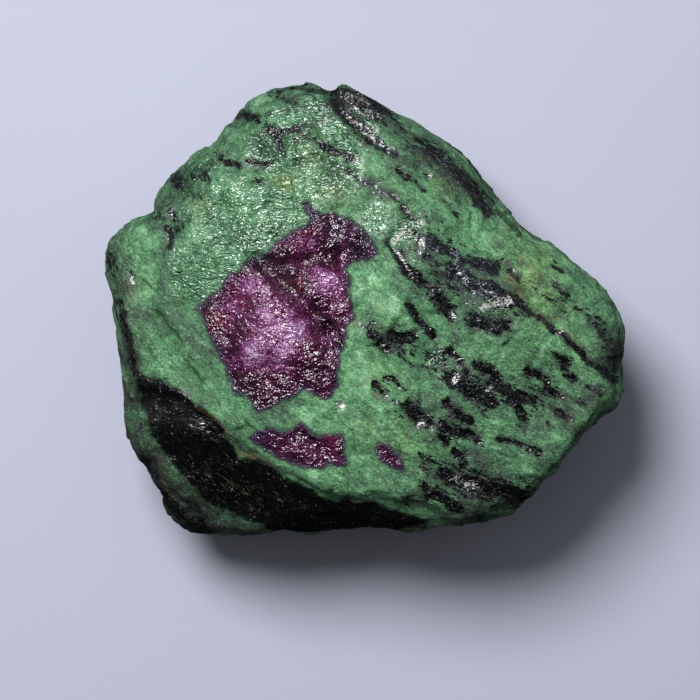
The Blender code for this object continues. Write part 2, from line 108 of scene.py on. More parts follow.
# Black hornblende on the front face, and two streaks of painted shade laid as black: the run of each
# streak, its half width and its strength.
BLACK_STREAKS = {
    "patch_veil": ([(9.5, 14), (14.5, 9.5), (19, 5.5), (25.5, 1.5)], 4.4, 0.43),
    "chain_veil": ([(7, 8), (12, 4), (17, -1), (23, -2.5)], 2.4, 0.36),
    "blot_veil": ([(1, -3.4), (4.5, -4.8), (9, -5.4)], 2.4, 0.42),
    "lower_veil": ([(13, -9), (18, -12), (24, -14), (31, -16)], 3.4, 0.42),
    "right_veil": ([(27, -6), (34, -10), (41, -15)], 2.6, 0.24),
    "middle_veil": ([(8, -16.5), (13, -19), (18, -21.5), (19, -26)], 2.8, 0.38),
    "foot_veil": ([(12, -27), (17, -30), (24, -31.5), (28, -32)], 3.2, 0.55),
    "edge_veil": ([(9, -33), (14, -35), (19, -35)], 2.4, 0.34),
    "flank_veil": ([(31, 5), (36, 1), (42, -4), (44.5, -9)], 2.6, 0.36),
    "top_veil": ([(-3, 36), (3, 31), (10, 27), (18, 21)], 2.6, 0.33),
    "fleck_veil": ([(-4, 25), (2, 21.5), (8, 18.5)], 2, 0.26),
    "shoulder_veil": ([(-37, 17), (-31.5, 22.5), (-26, 26.5)], 2.2, 0.34),
    "brow_veil": ([(-18, 32), (-15, 29.5), (-9, 31.5)], 2, 0.3),
    "left_veil": ([(-44.5, 10), (-42.5, 4), (-41.5, -4), (-39.5, -12)], 1.6, 0.32),
    "top_lobe_core": ([(-4.2, 38.2), (-2.1, 37.5), (0.3, 36.1), (2.8, 34.7)], 1.2, 1),
    "top_lobe_end": ([(-5.4, 38.6), (-3.3, 38.9)], 0.7, 1),
    "top_lobe_rim": ([(-0.7, 38.2), (2.1, 36.7), (4.5, 34.6)], 0.7, 1),
    # Painted shade, laid as black, in the groove under the top lobe.
    "under_lobe_shade": ([(-4.6, 36.4), (-2.8, 34.2), (-0.6, 32.5), (1.8, 30.2)], 1, 0.82),
    "below_lobe": ([(1, 30.5), (3.7, 28.4), (5.9, 27.4)], 0.6, 0.8),
    "blue_grey": ([(3.7, 33.9), (6.3, 31.6), (8.9, 29), (11.5, 27.2)], 1, 0.5),
    "ridge_line": (
        [(5.4, 33.7), (8.9, 31.1), (12.4, 28.8), (15, 26.7), (17.7, 24.2), (20.3, 21.1), (22.4, 18.5)],
        0.4, 0.8),
    "ridge_line_end": ([(22.4, 18.5), (24.7, 16.5), (27.3, 13.2)], 0.3, 0.5),
    "ridge_band": ([(11.5, 28.1), (15, 25.5), (17.7, 22.8), (19.9, 20.6), (22, 17.2)], 1, 0.8),
    "fleck_a": ([(5.9, 24.9), (7.7, 23.2)], 0.3, 0.7),
    "fleck_b": ([(8, 23.7), (10.7, 21.4)], 0.3, 0.7),
    "fleck_c": ([(-2.6, 24.6), (-0.6, 23.1), (1.6, 22.1)], 0.3, 0.75),
    "fleck_d": ([(2.1, 21.8), (6.3, 19.7)], 0.3, 0.75),
    "fleck_e": ([(13.3, 20.2), (15.9, 17.9), (17.1, 15.8)], 0.4, 0.42),
    "fleck_f": ([(10.7, 17.9), (11.9, 15.5)], 0.4, 0.5),
    # Painted shadow, laid as black, under the white chip.
    "chip_shadow": ([(7, 17.9), (8.8, 16.4)], 0.6, 0.75),
    "patch_top": ([(10.1, 12.7), (13.3, 11.5), (15.9, 10.2), (17.5, 8.5)], 1, 0.9),
    "patch_left": ([(10.6, 10), (12.3, 8), (14.9, 5.3), (17, 3.2)], 1, 0.68),
    "patch_core": ([(15.9, 7.1), (19.4, 5), (22.9, 3.4), (25.7, 1.8)], 1.5, 1),
    "patch_upper": ([(19.9, 8.5), (23.1, 7.4)], 1, 0.9),
    "patch_tail": ([(24.6, 8.4), (26.1, 6.8), (27.2, 5.4)], 0.6, 0.7),
    "chain_start": ([(3.8, 12.2), (6.4, 9.8)], 0.3, 0.85),
    "chain_top": ([(6.2, 10), (7.3, 8.2), (8.7, 6.4), (10.4, 5.2)], 0.7, 1),
    "chain_mid": ([(8.4, 6.6), (10.8, 5.5), (12.6, 4.3), (14.3, 2.2)], 0.6, 0.75),
    "chain_low": ([(12.6, 3.4), (13.9, 1.2), (15.4, -1)], 1.1, 0.95),
    "chain_end": ([(19.2, -1.4), (21.3, -2.4), (23.4, -3.1), (25.1, -2.6)], 1.2, 0.92),
    "dark_streak": ([(8, 1), (9.2, -0.6), (10.9, -2.8), (12.2, -4.6)], 0.45, 1),
    "left_blot": ([(1.6, -4), (3, -5), (4.4, -6.2)], 0.95, 0.85),
    "right_blot": ([(5.2, -4.4), (6.8, -4.9), (8.4, -4.5)], 1.1, 0.95),
    "blot_tail": ([(5.6, -5.7), (7.3, -7.3)], 0.5, 0.7),
    "flank_line_a": ([(25, 2.4), (27.3, 1.4), (29.1, 0.1)], 0.7, 1),
    "flank_line_b": (
        [(29.1, 0.1), (32, -1.8), (34.8, -4.1), (37.1, -6), (39.2, -8.3), (42.2, -10.6), (44.3, -12.2)],
        0.5, 0.9),
    "right_rim": ([(40.6, -2), (42.6, -4), (43.6, -6.4), (44, -8.6)], 1.2, 0.62),
    "right_foot_veil": ([(28, -18), (32, -20.5), (36, -22)], 2.2, 0.24),
    "corner_veil": ([(-39, -28), (-35, -34), (-29, -38)], 3, 0.5),
    "corner_black": ([(-35, -32.5), (-32.5, -35.5), (-28.5, -37.5)], 1.4, 0.8),
    "flank_spot": ([(33.6, 7.9), (34.8, 7)], 0.5, 0.85),
    "flank_brown": ([(33, 4.8), (35, 3.2), (37.5, 1.3)], 0.5, 0.55),
    "flank_brown_b": ([(37.8, 0.3), (40.1, -1.5)], 0.5, 0.7),
    "flank_brown_c": ([(33.4, 1.8), (36.2, -0.4)], 0.5, 0.5),
    "lower_a": ([(15, -6.9), (17, -8.8), (18.5, -10.9)], 0.6, 1),
    "lower_b": ([(20.4, -9.3), (22.1, -10.3), (23.5, -11.5)], 0.8, 0.95),
    "speckled": ([(12.1, -7.4), (14.3, -9.7)], 1, 0.62),
    "lower_core": ([(15.9, -11.9), (18.3, -13.5), (20.8, -14.7), (22.4, -16)], 1.4, 1),
    "lower_mid": ([(22.9, -12.9), (25.4, -14.1), (27.5, -15.1), (29.9, -15.8)], 1, 1),
    "lower_c": ([(29.1, -10.3), (30.8, -11.3), (32.2, -12.4)], 0.8, 0.95),
    "lower_d": ([(34.1, -8.2), (35.9, -9)], 0.8, 0.85),
    "lower_d_tail": ([(35, -10.2), (37.3, -12.3)], 0.6, 0.8),
    "lower_e": ([(32.4, -14.1), (34.5, -15)], 0.8, 0.85),
    "lower_f": ([(26.1, -15.7), (27.3, -17.4), (28.3, -19)], 0.8, 0.88),
    "lower_g": ([(34.1, -17.8), (36, -18.8)], 0.7, 0.82),
    "lower_h": ([(14.6, -16.2), (16.1, -17.6), (17.5, -18.8), (19.1, -19.7)], 0.6, 0.9),
    "lower_i": ([(8.2, -17), (9.9, -18.4), (11.4, -19.8)], 1.3, 1),
    "lower_i_tail": ([(5.3, -16), (7.2, -17.2)], 0.3, 0.8),
    "lower_j": ([(13.7, -20.1), (15.5, -21.2), (18, -21.6), (19.6, -22.5)], 0.8, 1),
    "lower_k": ([(13.6, -21.9), (14.8, -23.1)], 0.7, 0.95),
    "lower_k_end": ([(16.3, -24.7), (17.5, -26.6)], 0.7, 0.9),
    "foot_a": ([(13.9, -28.6), (15.9, -29.6), (18.5, -30.3), (21.3, -31), (24.1, -31.4)], 1.3, 1),
    "foot_b": ([(23.8, -30.1), (25.9, -31.5), (28.3, -33)], 1, 1),
    "foot_c": ([(10.7, -31.4), (13.3, -32.5), (15.4, -34), (16.8, -34.7)], 0.9, 0.88),
    "foot_d": ([(18.5, -32.5), (21.3, -33.3)], 0.5, 0.6),
    "lower_l": ([(24.1, -22.3), (25.9, -22.7), (27.5, -23.7)], 0.5, 0.85),
    "lower_m": ([(28.7, -24.1), (31, -24.9)], 0.6, 0.88),
    "beside_ruby": ([(2.6, -12.9), (3.4, -14.2)], 0.9, 0.88),
    "beside_ruby_b": ([(3.8, -11.6), (5.6, -12.3)], 0.4, 0.8),
    "beside_ruby_c": ([(6.3, -13), (7.2, -13.7)], 0.3, 0.75),
    "fleck_g": ([(6.3, -7.8), (8.9, -9.2)], 0.5, 0.55),
    "fleck_h": ([(10.7, -9.5), (12.1, -11.3)], 0.4, 0.65),
    "fleck_i": ([(39.5, -13), (41.3, -14.3)], 0.5, 0.65),
    "fleck_j": ([(36.9, -15.7), (38.7, -16.7)], 0.4, 0.55),
    "fleck_k": ([(32.2, -19.2), (33.6, -20.6)], 0.3, 0.55),
    "fleck_l": ([(27.3, -20), (28.7, -20.9)], 0.3, 0.55),
    "fleck_m": ([(20.6, -17.2), (22, -18.5)], 0.3, 0.55),
    "top_edge": ([(-14.9, 39), (-12.1, 39.3), (-9.4, 39), (-6.8, 38.5)], 0.5, 0.62),
    "top_edge_b": ([(-16.1, 38.1), (-13.8, 37.4), (-11.6, 36.4)], 0.4, 0.55),
    "brow_a": ([(-21.2, 34.6), (-19.9, 34), (-18.7, 33.7)], 0.6, 0.95),
    "brow_b": ([(-17.8, 33.5), (-16.4, 34.6)], 0.5, 0.4),
    "brow_c": ([(-16.8, 32.5), (-15.8, 31.4), (-14.9, 30.2), (-14.6, 29)], 0.5, 0.9),
    "brow_d": ([(-15.4, 31.4), (-13.6, 31.6), (-11.2, 32.1)], 0.5, 0.85),
    "brow_e": ([(-14.2, 28.4), (-14.3, 27)], 0.5, 0.65),
    "brow_f": ([(-11, 31.2), (-8.6, 30.7), (-7.2, 29.7)], 0.5, 0.5),
    "brow_g": ([(-7.3, 29), (-5.1, 28.3), (-3.3, 27.4), (-1.9, 26.7)], 0.4, 1),
    "pocket_a": ([(-24.8, 26.6), (-23.2, 26), (-21.7, 25.1)], 0.38, 1),
    "pocket_b": ([(-20, 26.4), (-18.5, 25.9), (-17, 25.8), (-15.9, 26.5)], 0.3, 0.8),
    "pocket_c": ([(-19.1, 23.2), (-17.3, 22.8)], 0.3, 0.7),
    "brow_h": ([(-11.5, 26.9), (-11, 25.3)], 0.5, 0.5),
    "brow_i": ([(-4.9, 26.3), (-3.1, 24.8), (-1.4, 22.7)], 0.3, 0.42),
    "shoulder_a": ([(-32.9, 23.6), (-32.4, 22.1)], 0.8, 0.75),
    "shoulder_b": ([(-29.6, 23.5), (-28, 24.2), (-27.3, 22.8)], 0.6, 0.72),
    "shoulder_c": ([(-30.6, 20.5), (-28.7, 19.9)], 0.4, 0.6),
    "shoulder_d": ([(-33.9, 18), (-33.3, 16.4)], 0.5, 0.72),
    "shoulder_e": ([(-34.3, 14.6), (-33.9, 12.9), (-34, 11.3)], 0.6, 0.82),
    "shoulder_f": ([(-33.1, 13.6), (-32, 15)], 0.5, 0.65),
    "shoulder_g": ([(-36.6, 16.4), (-34.8, 16)], 0.4, 0.55),
    "left_edge_a": ([(-45.3, 10.6), (-44.3, 9.2), (-43.6, 7.8)], 0.7, 0.72),
    "left_edge_b": ([(-41.3, 6.7), (-40.4, 5.2)], 0.4, 0.72),
    "left_edge_c": ([(-43, 1.8), (-42, -1.3), (-41.5, -4.5), (-40.9, -7.8), (-39.9, -11.1)], 0.7, 0.75),
}

# Where the zoisite is paler and yellower, and where painted shade darkens it: centre, reach and strength.
# Iron-stained cracks: run, half width and strength.
PALE = [
    (0, -8.3, 2.4, 1), (4.6, 1, 2.6, 0.9), (-2.3, -9.5, 2, 0.6), (-1.5, -14, 3, 0.55),
    (2.5, 5.5, 3, 0.45), (-26, 23.5, 2.4, 0.25), (17.5, -22.3, 1.6, 0.9), (34.3, -21.8, 1.4, 0.7),
    (13.3, -26.5, 0.9, 1), (12.8, -19.2, 0.8, 0.7), (-8.5, -28.8, 1.4, 0.8), (-9.5, -17.5, 2.5, 0.35),
    (-5.5, -15.9, 1.5, 0.5), (20, 15, 4, 0.35), (-10, 25, 4, 0.3), (43, -2, 2, 0.3),
    (36.8, -8.5, 0.9, 0.6), (-12.5, -28, 1.2, 0.5), (-34, -10, 2.5, 0.25), (15, 12, 4, 0.2),
    (0.6, -11.5, 4, 0.9), (0, -3, 3, 0.3), (9, -26, 3, 0.35), (31, 8, 5, 0.3), (-6, -17, 4, 0.3),
]
YELLOW = [
    (14, 22.5, 2.5, 0.7), (-13.5, 22.5, 1.6, 0.9), (-9, 27, 3, 0.4), (-28.5, 18.5, 2.2, 0.45),
    (-40, 4.5, 2.4, 0.35), (7, -22.5, 3, 0.5), (11, -20, 1.6, 0.5), (1.5, -21, 3, 0.35), (29, 5, 5, 0.95),
    (31, 9, 4, 0.7), (32, 0, 4, 0.5), (25, 13, 3, 0.45), (40, -8, 3, 0.4), (-5, 20.5, 3.2, 0.5),
    (3, -11, 3, 0.25), (-41, -4, 2, 0.4), (-18, 37, 3, 0.12), (10.5, -27.5, 2.2, 0.4),
]
BROWN = [
    ([(-28.7, -16.8), (-26.2, -18.6), (-23.8, -21.3), (-21.9, -24.4)], 0.3, 0.7),
    ([(-21.6, -24.8), (-18.6, -25.9), (-16, -26.8)], 0.5, 0.85),
    ([(-15.6, -25.9), (-11.2, -26.5), (-6.8, -26.6)], 0.4, 0.5),
    ([(25.4, 5.9), (27.3, 3.4)], 0.6, 0.8),
    ([(27.6, 9.5), (29.9, 7.4), (31, 6)], 0.5, 0.7),
    ([(30, 1), (34, -2), (38, -6)], 1.2, 0.5),
    ([(-14.8, 23.1), (-12.8, 23), (-11.5, 23.6)], 0.25, 0.7),
    ([(2.3, -14.8), (2.7, -15.6)], 0.6, 0.8),
    ([(-1.5, -0.5), (-1.8, -2.5)], 0.5, 0.8),
    ([(2, 1), (2.8, 0)], 0.6, 0.6),
    ([(-41, 4), (-40.3, 2)], 1.2, 0.5),
    ([(-35.7, -25.5), (-35, -29), (-33.8, -33)], 0.6, 0.6),
    ([(14, -38), (8, -38.4)], 0.8, 0.7),
]
# Painted shade: spots that darken the zoisite where shade falls on the front face, most towards its edges.
PAINTED_SHADE = [
    (-37, -33, 7, 1.1), (-30, -37, 7, 1.1), (-40, -22, 5, 1), (-41.5, -8, 3.5, 0.8), (-40, 22, 5, 0.45),
    (-37, -26, 5, 1), (-33, -31, 5, 0.9), (-41, -15, 4, 0.9), (-20, -38, 5, 0.8), (-37, 16, 4, 0.35),
    (-34, 24, 4, 0.45), (-31, -13, 4, 0.4), (-27, -6, 4.5, 0.45), (-34, -2, 5, 0.3), (-28, -12, 4, 0.35),
    (6, -33, 5, 0.45), (20, -36, 5, 0.55), (44, -8, 3.5, 0.55), (41, -18, 5, 0.4), (36, -17, 7, 0.22),
    (30, -24, 6, 0.12), (22, -21, 6, 0.12), (8, -29, 4, 0.2), (-42.5, 4, 3, 0.5), (-2, 31.5, 2.5, 0.5),
    (-22, 14, 3.5, 0.3), (-15, 13.8, 3.5, 0.35), (-36, 2, 6, 0.35), (13, 7, 5, 0.2), (20, 3, 5, 0.2),
    (2, -3.5, 4, 0.25), (18, -12, 5, 0.2), (18, -30, 5, 0.4), (-16, -18.5, 3, 0.35), (10, 27, 4, 0.3),
    (20, 21, 4, 0.35), (-22, -22, 4, 0.4), (14, -18, 4, 0.3), (41, -16, 4, 0.7), (37, -20.5, 3.5, 0.5),
    (32, -26, 3.5, 0.4), (30, -20, 3.5, 0.3), (25, -35, 4, 0.5), (-38.5, -2, 5, 0.4), (-8, 35, 7, 0.4),
    (-19, 31, 6, 0.35), (-4, 25, 6, 0.4), (-31, 20, 5, 0.3), (-43, 10, 4, 0.3), (-35, 6, 5, 0.2),
]

# Where the black is shot with blue-grey crystals, and where straw-coloured threads run through it.
MISTY = [
    (17, 7, 5, 1), (21, 3, 4, 0.9), (13, 10, 3, 0.9), (22, -3, 3, 0.5), (18, -14, 4, 0.5),
    (6, 32, 4, 0.8), (14, 25, 4, 0.7), (3, -4.5, 2, 0.5), (18, 20, 3, 0.5), (41, -4, 3, 0.5),
    (-32, 22, 3, 0.4), (10, -18, 3, 0.4), (18, -31, 3, 0.5),
]
THREADS = [
    (-27, -30, 7, 1), (-37, -21, 3, 0.9), (-14, -31, 6, 0.5), (0, -36, 8, 0.6), (-20, -33, 6, 0.9),
]

# The ruby's pale pink places and its painted shade, its reddest and bluest, and where its faces catch the
# light most.
# Pale pink: partly the ruby's milky colour, partly a painted sheen where its faces catch the light.
PINK_AND_SHEEN = [
    (-13.2, -4.2, 3.4, 1), (-16.4, -1.6, 2.6, 0.7), (-20.5, 4, 2.6, 0.55), (-17, 3.6, 2.2, 0.5),
    (-6.5, 6.2, 2.4, 0.6), (-4.4, 4.2, 2, 0.5), (-9.6, 11.9, 1.7, 0.6), (-18.7, -7.6, 2.6, 0.9),
    (-14.5, -8.2, 2.4, 0.6), (-5.2, -13, 2, 0.25), (-23.4, -0.4, 2, 0.3),
]
# Painted shade on the ruby: its dark saddle, its cleft, its top lobe and its lower part.
SHADE = [
    (-18.4, 9.6, 2, 1), (-15, 8.2, 2, 1), (-13, 5.2, 1.8, 0.9), (-10.6, 10.2, 2.2, 0.5),
    (-6, 9.8, 2.6, 0.7), (-0.5, 10.6, 2.6, 0.6), (-4.6, 14, 2.4, 0.6), (0, 13, 2.5, 0.6),
    (-10.6, 4.6, 1.8, 0.6), (-8.2, 0.8, 1.8, 0.9), (-6.4, -2, 1.6, 0.8), (-3.6, -5.6, 1.6, 1),
    (-26.6, 0.2, 1.6, 0.7), (-25.2, -2.4, 1.4, 0.6), (-20.6, -13.6, 3, 0.6), (-15, -13.8, 3, 0.5),
    (-9, -11.6, 3, 0.4), (-8.6, 16.6, 1.6, 0.8), (-21, -4, 1.8, 0.4), (-9, -6.6, 2, 0.4),
    (-12, 1.2, 1.4, 0.5),
]
REDDEST = [
    (-25.6, -1.8, 2.2, 1), (-21.6, 1.6, 2.2, 0.7), (-11, 5, 2.2, 0.6), (-9.4, -5.6, 1.8, 0.7),
    (-10.6, 13, 1.8, 0.5), (-19, -3.4, 1.6, 0.4), (-5.8, -22.6, 1.8, 0.8), (-17.5, -22.4, 1.6, 0.5),
]
BLUEST = [
    (-18.2, -22.6, 2.6, 1), (-21.4, 8.6, 2, 0.8), (-0.4, 11.4, 3, 0.8), (-5, 14.6, 2.4, 0.6),
    (-12.2, -3, 1.6, 0.5), (-27, 3, 2, 0.6), (-22.6, -12.4, 2.4, 0.7), (-4.6, -14.4, 1.8, 0.5),
    (-8.8, 17.4, 1.6, 0.9), (-25, -7, 2, 0.5), (5, -24, 1.4, 0.4),
]
# Where the ruby sparkles, its colour is also made a little paler: a painted sheen.
SPARKLE = [
    (-18.8, -7.2, 2.6, 1), (-14.8, -8.6, 2, 0.8), (-10.8, -3.6, 1.6, 0.9), (-13.2, 0.6, 1.8, 0.8),
    (-16.8, 0.2, 1.6, 0.7), (-19.6, 4.6, 1.8, 0.8), (-22.8, 0.6, 2.2, 0.6), (-5, 5, 2.6, 1),
    (-8.2, 6.6, 2, 0.7), (-10.2, 11.8, 2, 0.9), (-3.6, 8.8, 1.6, 0.7), (-24.6, 5.4, 1.6, 0.7),
    (-1.2, 12.4, 1.4, 0.5), (0.6, 10, 1.4, 0.8), (-9, 2, 2, 0.7), (-6, -5, 1.8, 0.6),
    (-21.6, -10.4, 2.2, 0.5), (-12.6, -12, 2.2, 0.4), (-7.2, 0.6, 1.6, 0.6), (-26.4, 2.2, 1.4, 0.6),
]

# Mostly painted glints on chips facing the light, partly flakes of white zoisite: run, half width, strength.
WHITE_AND_GLINTS = [
    ([(5.6, 12.6), (6.6, 13.6)], 0.4, 0.85),
    ([(7.4, 14.4), (9, 15), (10.4, 15.4)], 0.6, 0.6),
    ([(7.2, 18), (8.8, 16.8)], 0.5, 0.4),
    ([(-3.6, 38.2), (-1.2, 37.6), (1, 36.4)], 0.6, 0.46),
    ([(-1.6, 35.8), (1, 35.2), (3, 34)], 0.6, 0.42),
    ([(20.8, 0.5), (23, 0.9)], 0.4, 0.8),
    ([(23.6, 1), (25.8, 1.9)], 0.5, 0.75),
    ([(17.2, -30.2), (18.4, -30.6), (20.2, -30.7)], 0.3, 0.6),
    ([(-4.2, -16.2), (-3.5, -16.5)], 0.3, 0.8),
]

# The small forms of the front face. Knobs and hollows: centre, reach and height. Scores: a groove's run,
# half width and depth.
KNOBS = [
    (-19.6, 3.9, 1.7, 0.4), (-16.4, 4.2, 1.6, 0.35), (-18.9, -0.4, 1.5, 0.3), (-14.2, 0.4, 1.5, 0.35),
    (-26.1, -1, 1.6, 0.35), (-11.2, -3.2, 1.6, 0.4), (-15.6, -4.3, 1.5, 0.3), (-18.9, -6.9, 2.2, 0.5),
    (-13, -7.8, 1.9, 0.4), (-8.6, -3.1, 1.5, 0.3), (-9.9, 11.5, 1.9, 0.45), (-5.6, 4.5, 2.2, 0.45),
    (-7.9, 6.2, 1.6, 0.3), (-3.8, 4.8, 1.4, 0.3), (-22.5, -3, 1.8, 0.25), (-23.6, 1.8, 1.9, 0.3),
    (-17.2, 8.4, 2.4, -0.75), (-13.4, 5.6, 2, -0.45), (-5.5, 10.5, 2.5, -0.3), (-12, -12, 3, -0.3),
    (-23.5, 16.5, 3.5, -0.35), (-29, 12, 3, 0.35), (-34.3, -5.5, 1.8, -0.45), (-31, -7, 2, 0.35),
    (-37.5, -1.5, 2.5, 0.3), (8.2, 14.2, 1.8, 0.4), (9.5, 17.2, 1.4, -0.5), (23.2, 0.2, 1.8, -0.45),
    (-13.6, 22.6, 1.2, -0.4), (-28.6, -16.4, 2.4, 0.65), (18.7, -30.6, 1.4, -0.35), (-20, -8.5, 5, 0.6),
    (-11, -21.2, 4, 0.6), (-8, -10, 4, 0.5), (-3.9, -16.5, 0.8, -0.5),
]
SCORES = [
    ([(-19, 9.6), (-16.4, 7), (-12.8, 3.8), (-9.1, 0.4), (-6.2, -3), (-3.6, -6.6)], 0.65, 0.95),
    ([(-17.2, 8.7), (-14.4, 8.2), (-11, 8.6), (-8, 9.6), (-2.6, 10.1), (1, 9.9)], 0.7, 0.6),
    ([(-36.2, -1.6), (-35.2, -3.8), (-33.1, -6.2), (-31.9, -7.8)], 0.5, 0.8),
    ([(-22, -12), (-18, -10), (-13, -9.6), (-8, -10.5)], 0.7, 0.35),
    ([(5, 11.5), (7, 8.5), (9, 5.5), (12, 3.5)], 0.6, 0.35),
    ([(3.5, 13.5), (1.5, 15.3), (-2.5, 16.8)], 0.5, 0.25),
    ([(-31.5, 21), (-33.6, 17), (-34, 12.5)], 0.7, 0.45),
    ([(-22.4, 26.8), (-18, 24.8), (-13.5, 24.4), (-9, 26.6)], 0.7, 0.45),
]

# Where the zoisite has few veins, and where its wet skin is rippled: centre, reach and strength.
EVEN = [
    (-22, 15, 12, 1), (-30, 8, 9, 0.9), (-10, 22, 8, 0.9), (-16, 30, 8, 0.8), (-34, 0, 7, 0.8),
    (-27, -12, 6, 0.8), (2, 18, 6, 0.7), (12, 21, 5, 0.6), (16, -1, 4, 0.6), (-5, -20, 6, 0.6),
    (0, -12, 4, 0.7),
]
CRISP = [
    (-24, 14, 9, 1), (-27, 8, 7, 1), (-15, 19, 8, 0.95), (-7, 26, 7, 0.9), (-14, 30, 8, 0.8),
    (-28, 22, 6, 0.7), (-4, 30, 5, 0.9), (1, 36, 4, 1), (-8, 36, 4, 0.7), (7.6, 14.8, 2.4, 1),
    (23.4, 1, 2.2, 0.9), (12.6, -8.4, 1.8, 0.7), (18.5, -30.5, 1.8, 0.7), (2, 16, 4, 0.6),
    (-12, 24, 6, 0.9), (20, -13, 2, 0.5), (-4, -16.5, 1.2, 0.7),
]

# fmt: on
# ---------------------------------------------------------------- the lump's mesh


def ball_grid(cells):
    """A gridded cube of side 2: its corners, its quads, and each quad corner's place on its side.

    Sides are numbered 0 to 5: -X, +X, -Y, +Y, -Z, +Z. A place on a side is from 0 to 1 each way.
    """
    steps = np.arange(cells + 1)
    one, two = np.meshgrid(steps, steps, indexing="ij")
    corners, quads, places = [], [], []
    square = np.array([[0, 0], [1, 0], [1, 1], [0, 1]])
    for axis in range(3):
        for end in (0, cells):
            grid = np.empty((cells + 1, cells + 1, 3), int)
            grid[..., axis] = end
            grid[..., (axis + 1) % 3] = one
            grid[..., (axis + 2) % 3] = two
            low = np.stack([one[:-1, :-1], two[:-1, :-1]], axis=-1).reshape(-1, 1, 2)
            around = square if end else square[::-1]
            cell = low + around
            quads.append(cell @ [cells + 1, 1] + len(corners) * (cells + 1) ** 2)
            places.append(cell / cells)
            corners.append(grid.reshape(-1, 3))
    unique, where = np.unique(np.concatenate(corners), axis=0, return_inverse=True)
    quads = where.reshape(-1)[np.concatenate(quads)]
    return unique * 2 / cells - 1, quads, np.concatenate(places)


# The rounded block that the quads are spread over: half its size, how square its sides are, and how
# much a point's place on it follows its place across rather than its angle.
BLOCK, SQUARENESS, ACROSS_SHARE = [45, 39.5, 23], 2.6, 0.62


def wrap_directions(cube):
    """Directions out of the lump's middle, spaced so that the quads come out about even."""
    ball = np.tan(cube * math.pi / 4)
    ball /= np.linalg.norm(ball, axis=1)[:, None]
    across = np.hypot(ball[:, 0], ball[:, 1])
    turned = np.arctan2(across, np.abs(ball[:, 2])) / (math.pi / 2)
    spread = ACROSS_SHARE * across + (1 - ACROSS_SHARE) * turned
    height = np.sign(ball[:, 2]) * (1 - spread**SQUARENESS).clip(0) ** 0.5
    flat = ball[:, :2] / np.maximum(across, TINY)[:, None] * spread[:, None]
    aims = np.column_stack([flat, height]) * BLOCK
    return aims / np.linalg.norm(aims, axis=1)[:, None]


def on_solid(directions):
    """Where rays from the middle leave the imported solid."""
    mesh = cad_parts[NODE].data
    corners = [v.co / MM for v in mesh.vertices]
    tree = BVHTree.FromPolygons(corners, [p.vertices[:] for p in mesh.polygons])
    start = Vector(MIDDLE)
    found = [tree.ray_cast(start, Vector(d))[0] for d in directions.tolist()]
    return np.array([p if p is not None else start for p in found])


class Net:
    """The lump's mesh as arrays: which points are joined, and the quads."""

    def __init__(self, quads, count):
        pairs = np.concatenate([quads[:, [i, (i + 1) % 4]] for i in range(4)])
        self.pairs = np.unique(np.sort(pairs, axis=1), axis=0)
        self.quads, self.count = quads, count
        self.joins = np.bincount(self.pairs.ravel(), minlength=count)

    def around(self, values):
        """The mean of each point's neighbours."""
        a, b = self.pairs.T
        total = np.bincount(a, weights=values[b], minlength=self.count)
        total += np.bincount(b, weights=values[a], minlength=self.count)
        return total / self.joins

    def smoothed(self, points, rounds, pull=0.5, push=-0.52):
        """Points with their facets worn off and their broad forms kept."""
        for turn in range(2 * rounds):
            near = np.column_stack([self.around(points[:, i]) for i in range(3)])
            points = points + (near - points) * (push if turn % 2 else pull)
        return points

    def normals(self, points):
        a, b, c, d = (points[self.quads[:, i]] for i in range(4))
        face = np.cross(c - a, d - b)
        total = np.zeros_like(points)
        for i in range(4):
            for k in range(3):
                total[:, k] += np.bincount(
                    self.quads[:, i], weights=face[:, k], minlength=self.count
                )
        return total / np.linalg.norm(total, axis=1)[:, None]


def smoothstep(low, high, value):
    t = np.clip((value - low) / (high - low), 0, 1)
    return t * t * (3 - 2 * t)


def seen(points):
    """Where the eye sees points on the plane of the widest line."""
    scale = (EYE_HEIGHT - SEEN_PLANE) / (EYE_HEIGHT - points[:, 2])
    return EYE + (points[:, :2] - EYE) * scale[:, None]


def line_distance(line, spots):
    """Each spot's distance from a line, and how far along the line its nearest point is."""
    nearest = np.full(len(spots), np.inf)
    reached = np.zeros(len(spots))
    run = 0.0
    for start, end in zip(np.array(line), np.array(line[1:])):
        leg = end - start
        along = np.clip((spots - start) @ leg / (leg @ leg), 0, 1)
        distance = np.linalg.norm(spots - start - along[:, None] * leg, axis=1)
        length = np.linalg.norm(leg)
        reached = np.where(distance < nearest, run + along * length, reached)
        nearest = np.minimum(nearest, distance)
        run += length
    return nearest, reached


def depth_inside(outline, spots):
    """How far inside a closed outline each spot is; outside is negative."""
    ring = np.array(outline + outline[:1])
    inside = np.zeros(len(spots), bool)
    x, y = spots.T
    for (x0, y0), (x1, y1) in zip(ring, ring[1:]):
        crosses = (y0 > y) != (y1 > y)
        inside ^= crosses & (x < (x1 - x0) * (y - y0) / (y1 - y0 + TINY) + x0)
    return line_distance(ring, spots)[0] * np.where(inside, 1, -1)


def noises(places, size=1.0, kind=noise.noise):
    """A noise of the given size at each place."""
    return np.array([kind(p) for p in (np.asarray(places) / size).tolist()])


def spots_field(spots, places):
    """The strongest of several round soft spots at each place."""
    field = np.zeros(len(places))
    for x, y, reach, strength in spots:
        distance = np.hypot(places[:, 0] - x, places[:, 1] - y)
        field = np.maximum(field, strength * np.exp(-((distance / reach) ** 2)))
    return field


def lines_field(lines, places, softness=0.55):
    """The strongest of several soft lines at each place: half strength at about the half width."""
    field = np.zeros(len(places))
    for line, half_width, strength in lines:
        beyond = (line_distance(line, places)[0] - 0.5 * half_width).clip(0)
        field = np.maximum(field, strength / (1 + (beyond / (0.5 * half_width + 0.35 * softness)) ** 2))
    return field


